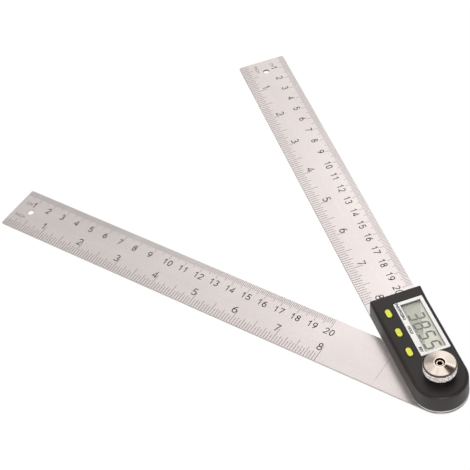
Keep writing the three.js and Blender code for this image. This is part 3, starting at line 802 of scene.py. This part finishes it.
# Cover
COVER_DRAFT = 0.35 * MM
COVER_EDGE = 2.0 * MM
COVER_EDGE_START = 0.15 * MM
COVER_EDGE_STEPS = 10
COVER_RUNOUT = 9.0 * MM
COVER_WALL = 1.6 * MM
COVER_ROOF = 1.5 * MM
COVER_CORNER = 0.8 * MM
RUNOUT_POWER = 0.6
RUNOUT_SHARES = (0, 0.01, 0.025, 0.05, 0.1, 0.2, 0.35, 0.55, 0.78, 1)
LABEL_CORNER = 0.5 * MM
LABEL_CLEARANCE = 0.15 * MM
WINDOW_LOW, WINDOW_HIGH = grown(LENS_LOW, LENS_HIGH, LABEL_CLEARANCE)
WINDOW_CORNER = 0.05 * MM
WINDOW_STEPS = 2
KEY_CLEARANCE = 0.28 * MM
KEY_FLANGE = 0.55 * MM
KEY_STEPS = 16
SLIVER = 0.001 * MM
PIVOT_HOLE = 3.25 * MM
OVERRUN = 1.0 * MM


def pill(low, high):
    """An outline with round ends, which a sliver keeps apart."""
    return rectangle(low, high, (high.y - low.y) / 2 - SLIVER, KEY_STEPS)


def window_outline(margin=0):
    return rectangle(*grown(WINDOW_LOW, WINDOW_HIGH, margin), WINDOW_CORNER, WINDOW_STEPS)


def edge_radius(from_end):
    """The radius of the cover's rounded edge, which runs out towards its square end."""
    share = min(1, from_end / COVER_RUNOUT) ** RUNOUT_POWER
    return COVER_EDGE_START + (COVER_EDGE - COVER_EDGE_START) * share


def cover_ring(turn, height=None):
    """One outline of the cover: turn runs over the rounded edge, or height gives a plain level."""
    stations = [COVER_END - share * COVER_RUNOUT for share in RUNOUT_SHARES]
    points = []

    def corner_inset(from_end):
        left = max(0, COVER_CORNER - from_end)
        return COVER_CORNER - math.sqrt(COVER_CORNER ** 2 - left ** 2)

    def add(x, normal, radius):
        edge = 0 if height is not None else radius
        z = height if height is not None else COVER_TOP - edge + edge * math.sin(turn)
        lean = COVER_DRAFT * (z - UPPER_TOP) / (COVER_TOP - UPPER_TOP)
        half = HALF_WIDTH - lean - edge * (1 - math.cos(turn)) - corner_inset(COVER_END - x)
        centre = min(x, COVER_END - lean)
        points.append((centre + half * math.cos(normal), half * math.sin(normal), z))

    for x in stations:
        add(x, math.pi / 2, edge_radius(COVER_END - x))
    for i in range(ARC_STEPS + 1):
        add(0, math.pi / 2 + math.pi * i / ARC_STEPS, COVER_EDGE)
    for x in reversed(stations):
        add(x, -math.pi / 2, edge_radius(COVER_END - x))
    return points


def cutting_prism(name, outline, low, high):
    return loft(name, [at_height(outline, low), at_height(outline, high)], CHARCOAL)


def make_cover():
    turns = [math.pi / 2 * i / COVER_EDGE_STEPS for i in range(COVER_EDGE_STEPS + 1)]
    rings = [cover_ring(0, UPPER_TOP)] + [cover_ring(turn) for turn in turns]
    cover = loft("cover_shell", rings, CHARCOAL)
    inner = HALF_WIDTH - COVER_WALL
    cavity = [(COVER_END - COVER_WALL, -inner), (COVER_END - COVER_WALL, inner)]
    cavity += arc(0, 0, inner, 90, 270, ARC_STEPS)
    label = rectangle(*grown(LABEL_LOW, LABEL_HIGH, LABEL_CLEARANCE), LABEL_CORNER)
    roof = COVER_TOP - COVER_ROOF
    low, high = roof - OVERRUN, COVER_TOP + OVERRUN
    cutters = [
        cutting_prism("cavity", cavity, UPPER_TOP - OVERRUN, roof),
        cutting_prism("label_recess", label, LABEL_LOW.z, high),
        cutting_prism("window", window_outline(), low, high),
        cutting_prism("pivot_hole", circle(0, 0, PIVOT_HOLE), low, high),
    ]
    for number in KEY_NUMBERS:
        hole = pill(*grown(*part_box(f"key_{number}"), KEY_CLEARANCE - KEY_FLANGE))
        cutters.append(cutting_prism("key_hole", hole, low, high))
    cut(cover, cutters)
    attach(cover, "display_arm", DISPLAY_ARM, ["front_cover"])


# Label
LABEL_EDGE = 0.06 * MM
LABEL_BORDER = 0.55 * MM
LINING_WALL = 0.15 * MM
LINING_EDGE = 0.02 * MM
LINING_DROP = 0.2 * MM
KEY_WORDS = ["ON/OFF/ZERO", "HOLD", "REV"]
KEY_WORD_SIZE = 1.5 * MM
KEY_WORD_BACK = 0.7 * MM
KEY_WORD_WEIGHT = 0.05


def make_label():
    low, top = LABEL_LOW.z, LABEL_HIGH.z
    outline = rectangle(LABEL_LOW, LABEL_HIGH, LABEL_CORNER)
    label = plate(
        "label_frame", outline, [window_outline()], low, top, LABEL_EDGE, LABEL_LINE, LABEL
    )
    attach(label, "display_arm", DISPLAY_ARM, ["window_label"])
    lining = plate(
        "window_lining", window_outline(), [window_outline(-LINING_WALL)],
        LENS_HIGH.z, top - LINING_DROP, LINING_EDGE, LINING, LINING
    )
    attach(lining, "display_arm")
    left, right = LABEL_LOW.x + LABEL_BORDER, LABEL_HIGH.x - LABEL_BORDER
    strip = bar(left, right, WINDOW_HIGH.y + LABEL_BORDER, LABEL_HIGH.y - LABEL_BORDER)
    inlay = prisms("label_strip", [strip], top - INK_SINK, top + INK_HEIGHT, LABEL)
    attach(inlay, "display_arm")
    middle = (WINDOW_HIGH.y + LABEL_HIGH.y) / 2
    words = []
    for word, number in zip(KEY_WORDS, KEY_NUMBERS):
        x = middle_of(f"key_{number}").x - KEY_WORD_BACK
        words.append((word, KEY_WORD_SIZE, x, middle))
    text = lettering("label_words", words, top + INK_HEIGHT, LABEL_INK, KEY_WORD_WEIGHT)
    attach(text, "display_arm")


# Display: the lit bars of each digit, a point after the second, and a painted shadow of them on the panel
DIGITS = "3855"
LIT = {"3": "abgcd", "5": "afgcd", "8": "abcdefg"}
POINT_AFTER = 1
DIGIT_HEIGHT = 8.2 * MM
DIGIT_WIDTH = 4.4 * MM
DIGIT_PITCH = 6.5 * MM
DIGIT_STROKE = 0.8 * MM
DIGIT_GAP = 0.12 * MM
DIGIT_SLANT = math.tan(math.radians(6))
POINT_GAP = 0.45 * MM
LAST_DIGIT_INSET = 3.9 * MM
SEGMENT_HEIGHT = 0.016 * MM
SHADE_HEIGHT = 0.008 * MM
SHADE_SHIFT = 0.35 * MM


def segment_outlines():
    """The seven bars of a digit, each a six-sided bar, in the digit's own plane."""
    w = (DIGIT_WIDTH - DIGIT_STROKE) / 2
    h = (DIGIT_HEIGHT - DIGIT_STROKE) / 2
    across = {"a": (0, h), "g": (0, 0), "d": (0, -h)}
    upright = {"f": (-w, h / 2), "b": (w, h / 2), "e": (-w, -h / 2), "c": (w, -h / 2)}
    t = DIGIT_STROKE / 2
    made = {}
    for name, (x, y) in across.items():
        end = w - DIGIT_GAP
        made[name] = [(x - end, y), (x - end + t, y - t), (x + end - t, y - t)]
        made[name] += [(x + end, y), (x + end - t, y + t), (x - end + t, y + t)]
    for name, (x, y) in upright.items():
        end = h / 2 - DIGIT_GAP
        made[name] = [(x, y - end), (x + t, y - end + t), (x + t, y + end - t)]
        made[name] += [(x, y + end), (x - t, y + end - t), (x - t, y - end + t)]
    return made


def make_digits(name, shift, height, material):
    outlines = segment_outlines()
    t = DIGIT_STROKE / 2
    px, py = DIGIT_WIDTH / 2 + POINT_GAP, t - DIGIT_HEIGHT / 2
    point = bar(px - t, px + t, py - t, py + t)
    middle = (WINDOW_LOW.y + WINDOW_HIGH.y) / 2
    placed = []
    for i, digit in enumerate(DIGITS):
        x = WINDOW_LOW.x + LAST_DIGIT_INSET + (len(DIGITS) - 1 - i) * DIGIT_PITCH
        shapes = [outlines[key] for key in LIT[digit]]
        if i == POINT_AFTER:
            shapes.append(point)
        for shape in shapes:
            leaning = [(u + v * DIGIT_SLANT, v) for u, v in shape]
            placed.append([(x - u + shift, middle - v + shift) for u, v in leaning])
    digits = prisms(name, placed, LCD_TOP - INK_SINK, LCD_TOP + height, material)
    attach(digits, "display_arm")


# Keys
KEY_CROWN_WIDTH = 0.9 * MM
KEY_CROWN_HEIGHT = 0.5 * MM
KEY_CROWN_STEPS = 8
KEY_FOOT = 0.5 * MM
KEY_SILL = 0.8 * MM
KEY_SMOOTH_ANGLE = 60


def make_keys():
    foot = LCD_BOTTOM + KEY_FOOT
    sill = foot + KEY_SILL
    for number in KEY_NUMBERS:
        low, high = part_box(f"key_{number}")
        flange = pill(low, high)
        cap = pill(*grown(low, high, -KEY_FLANGE))
        rings = [at_height(flange, foot), at_height(flange, sill), at_height(cap, sill)]
        for i in range(KEY_CROWN_STEPS + 1):
            turn = math.pi / 2 * i / KEY_CROWN_STEPS
            outline = shrunk(cap, KEY_CROWN_WIDTH * (1 - math.cos(turn)))
            rings.append(at_height(outline, high.z - KEY_CROWN_HEIGHT * (1 - math.sin(turn))))
        key = loft(f"key_cap_{number}", rings, KEY, KEY_SMOOTH_ANGLE)
        attach(key, f"key_{number}_body", DISPLAY_ARM, [f"key_{number}"])


# Knob
KNURL_TEETH = 46
KNURL_DEPTH = 0.25 * MM
KNURL_SAMPLES = 8
KNOB_HEIGHT = 4.8 * MM
KNOB_CROWN = 0.7 * MM
KNOB_HUB = 0.4 * MM
KNOB_SHOULDER = 1.1 * MM
KNOB_EDGE = 0.6 * MM
KNOB_CHAMFER = 0.3 * MM
KNOB_RIM = 0.12 * MM
KNOB_SMOOTH_ANGLE = 6
COLLAR_RADIUS = 5.5 * MM
BORE_RADIUS = 2.5 * MM


def knurl_ring(radius, z, depth):
    """A ring whose radius dips by a depth between its teeth."""
    count = KNURL_TEETH * KNURL_SAMPLES
    points = []
    for i in range(count):
        wave = abs((i % KNURL_SAMPLES) / KNURL_SAMPLES * 2 - 1)
        r = radius - depth * wave
        angle = 2 * math.pi * i / count
        points.append((r * math.cos(angle), r * math.sin(angle), z))
    return points


def make_knob():
    low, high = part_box("lock_knob")
    radius = high.x
    edge_top = high.z - KNOB_CROWN
    bottom = edge_top - KNOB_HEIGHT
    profile = [
        (BORE_RADIUS, low.z, 0),
        (COLLAR_RADIUS - KNOB_RIM, low.z, 0),
        (COLLAR_RADIUS, low.z + KNOB_RIM, 0),
        (COLLAR_RADIUS, bottom, 0),
        (radius - KNOB_CHAMFER, bottom, 0),
        (radius, bottom + KNOB_CHAMFER, KNURL_DEPTH),
        (radius, edge_top - KNOB_SHOULDER, KNURL_DEPTH),
        (radius - KNOB_EDGE, edge_top, 0),
        (BORE_RADIUS + KNOB_HUB, high.z, 0),
        (BORE_RADIUS + KNOB_RIM, high.z, 0),
        (BORE_RADIUS, high.z - KNOB_RIM, 0),
    ]
    # The knurl takes the bottom chamfer and the teeth; the upper bevel takes the dark nickel as painted
    # shade.
    surfaces = {4: 1, 5: 1, 6: 2}
    rings = [knurl_ring(r, z, depth) for r, z, depth in profile]
    count = len(rings[0])
    vertices = [point for ring in rings for point in ring]
    faces = []
    for r in range(len(rings)):
        s = (r + 1) % len(rings)
        for i in range(count):
            j = (i + 1) % count
            faces.append((r * count + i, r * count + j, s * count + j, s * count + i))
    knob = mesh_object("knurled_knob", vertices, faces, NICKEL, KNOB_SMOOTH_ANGLE)
    knob.data.materials.append(KNURL)
    knob.data.materials.append(PAINTED_DARK_BEVEL)
    for r, index in surfaces.items():
        for i in range(count):
            knob.data.polygons[r * count + i].material_index = index
    attach(knob, "knob", DISPLAY_ARM, ["lock_knob"])


# Camera, solved from the scale marks on both arms
VIEW_AZIMUTH = math.radians(168.22)
VIEW_ELEVATION = math.radians(46.48)
VIEW_ROLL = math.radians(-8.8)
VIEW_DISTANCE = 759.6 * MM
VIEW_TARGET = Vector((136.6 * MM, 59.1 * MM, LOWER_TOP))
SENSOR = 36.0
FOCAL_PIXELS = 1409.7
PHOTO_PIXELS = 470
CLIP_START = 10 * MM


def make_camera():
    outward = Vector((
        math.cos(VIEW_ELEVATION) * math.cos(VIEW_AZIMUTH),
        math.cos(VIEW_ELEVATION) * math.sin(VIEW_AZIMUTH),
        math.sin(VIEW_ELEVATION),
    ))
    data = bpy.data.cameras.new("camera")
    data.sensor_width = SENSOR
    data.lens = FOCAL_PIXELS * SENSOR / PHOTO_PIXELS
    data.clip_start = CLIP_START
    camera = link("camera", data)
    right = (-outward).cross(Vector((0, 0, 1))).normalized()
    up = right.cross(-outward)
    rolled_right = math.cos(VIEW_ROLL) * right + math.sin(VIEW_ROLL) * up
    rolled_up = math.cos(VIEW_ROLL) * up - math.sin(VIEW_ROLL) * right
    turn = Matrix((rolled_right, rolled_up, outward)).transposed().to_4x4()
    camera.matrix_world = Matrix.Translation(VIEW_TARGET + outward * VIEW_DISTANCE) @ turn
    bpy.context.scene.camera = camera


# Floor: white to the camera and in gloss, with a faint shadow, and clear from below
FLOOR_REACH = 4.0
FLOOR_DROP = 0.02 * MM
FLOOR_PAINT = (0.86, 0.86, 0.86, 1)
FLOOR_GLOW = 1.03
GLOW_SHARE = 0.94
WHITE = (1, 1, 1, 1)


def make_floor():
    material = bpy.data.materials.new("white_floor")
    material.use_nodes = True
    tree = material.node_tree
    tree.nodes.clear()
    paint = new_node(tree, "ShaderNodeBsdfDiffuse", {"Color": FLOOR_PAINT})
    glow = new_node(tree, "ShaderNodeEmission", {"Color": WHITE, "Strength": FLOOR_GLOW})
    rays = new_node(tree, "ShaderNodeLightPath").outputs
    seen = computed(tree, "MAXIMUM", rays["Is Camera Ray"], rays["Is Glossy Ray"]).outputs[0]
    share = computed(tree, "MULTIPLY", seen, GLOW_SHARE).outputs[0]
    values = {"Fac": share, 1: paint.outputs[0], 2: glow.outputs[0]}
    top_side = new_node(tree, "ShaderNodeMixShader", values).outputs[0]
    backfacing = new_node(tree, "ShaderNodeNewGeometry").outputs["Backfacing"]
    clear = new_node(tree, "ShaderNodeBsdfTransparent").outputs[0]
    values = {"Fac": backfacing, 1: top_side, 2: clear}
    one_sided = new_node(tree, "ShaderNodeMixShader", values).outputs[0]
    new_node(tree, "ShaderNodeOutputMaterial", {"Surface": one_sided})
    corners = bar(-FLOOR_REACH, FLOOR_REACH, -FLOOR_REACH, FLOOR_REACH)
    corners = at_height(corners, cad_low.z - FLOOR_DROP)
    floor = mesh_object("floor", corners, [(0, 1, 2, 3)], material)


# Studio: the brightness of the room round the object, by the height of a direction and by how far
# it points along an azimuth. The dark band high up puts the dark wedge on the knob, and the wall
# levels make one arm darker than the other. Stops are (place, level) or (place, colour).
SIDE_AZIMUTH = math.radians(-114)
DARK_BAND = (0.06, 0.05, 0.045)
BANDED_HEIGHTS = [
    (0.0, 0.1), (0.3, 0.14), (0.5, 0.8), (0.61, 0.8), (0.68, 0.96), (0.75, 0.98), (0.79, 1.35),
    (0.812, 1.5), (0.822, DARK_BAND), (0.9, DARK_BAND), (0.912, 0.83), (0.95, 0.83), (0.97, 0.5),
    (1.0, 0.45),
]
PLAIN_HEIGHTS = [
    (0.0, 0.1), (0.3, 0.14), (0.5, 0.85), (0.74, 0.8), (0.8, 1.6), (0.92, 1.5), (0.97, 0.5),
    (1.0, 0.4),
]
FRONT_HEIGHTS = [(0.0, 0.4), (0.16, 0.4), (0.24, 0.08), (0.55, 0.1), (0.75, 0.35), (1.0, 0.45)]
BAND_SHARE = [(0.43, 0), (0.47, 1)]
FRONT_SHARE = [(0.55, 0), (0.8, 1)]
WALL_LEVELS = [(0.36, 0.62), (0.405, 0.62), (0.435, 1.05), (0.5, 1.7), (0.56, 1.7), (0.66, 0.75)]
STUDIO_STRENGTH = 1.15
KEY_LIGHT_AT, KEY_LIGHT_AIM = (0.1, 0.5, 0.9), (0.13, 0.05, 0)
FILL_LIGHT_AT, FILL_LIGHT_AIM = (-0.8, 0.2, 0.2), (0, 0, 0)


def along(tree, source, azimuth):
    """How far a direction points along an azimuth: 0 is away from it, 0.5 across it, 1 along it."""
    towards = (math.cos(azimuth), math.sin(azimuth), 0)
    dot = computed(tree, "DOT_PRODUCT", source, towards, kind="ShaderNodeVectorMath")
    return rise(tree, dot.outputs["Value"], -1, 1)


def make_world():
    world = bpy.data.worlds.new("studio")
    world.use_nodes = True
    tree = world.node_tree
    tree.nodes.clear()
    direction = new_node(tree, "ShaderNodeTexCoord").outputs["Generated"]
    height = new_node(tree, "ShaderNodeSeparateXYZ", {"Vector": direction}).outputs["Z"]
    side = along(tree, direction, SIDE_AZIMUTH)
    towards = along(tree, direction, VIEW_AZIMUTH)
    plain = ramp(tree, height, PLAIN_HEIGHTS)
    banded = ramp(tree, height, BANDED_HEIGHTS)
    front = ramp(tree, height, FRONT_HEIGHTS)
    back = mixed(tree, ramp(tree, side, BAND_SHARE), plain, banded)
    room = mixed(tree, ramp(tree, towards, FRONT_SHARE), back, front)
    shaded = multiplied(tree, room, ramp(tree, side, WALL_LEVELS))
    seen = new_node(tree, "ShaderNodeLightPath").outputs["Is Camera Ray"]
    values = {"Color": mixed(tree, seen, shaded, WHITE), "Strength": STUDIO_STRENGTH}
    background = new_node(tree, "ShaderNodeBackground", values).outputs[0]
    new_node(tree, "ShaderNodeOutputWorld", {"Surface": background})
    bpy.context.scene.world = world


def softbox(name, place_at, aim_at, size, power, glare=True):
    """A soft lamp. Without glare, it lights a surface but isn't mirrored in it."""
    data = bpy.data.lights.new(name, "AREA")
    data.shape = "RECTANGLE"
    data.size, data.size_y = size
    data.energy = power
    lamp = link(name, data)
    lamp.visible_glossy = glare
    lamp.location = place_at
    lamp.rotation_euler = (Vector(aim_at) - Vector(place_at)).to_track_quat("-Z", "Y").to_euler()


dress_nodes()
make_blades()
print_scales("lower", LOWER_TOP, "lower_arm", LOWER_ARM)
print_scales("upper", UPPER_TOP, "display_arm", DISPLAY_ARM)
scribe_line()
make_cover()
make_label()
# A painted shadow: a paler copy of the digits, shifted a little, as cast on the panel behind
make_digits("display_digit_shades", SHADE_SHIFT, SHADE_HEIGHT, SEGMENT_SHADE)
make_digits("display_digits", 0, SEGMENT_HEIGHT, SEGMENT)
make_keys()
make_knob()
make_camera()
make_floor()
make_world()
softbox("key_light", KEY_LIGHT_AT, KEY_LIGHT_AIM, size=(0.6, 0.6), power=4.2, glare=False)
softbox("low_fill_light", FILL_LIGHT_AT, FILL_LIGHT_AIM, size=(0.5, 0.25), power=3)

bpy.context.scene.view_settings.view_transform = "Standard"
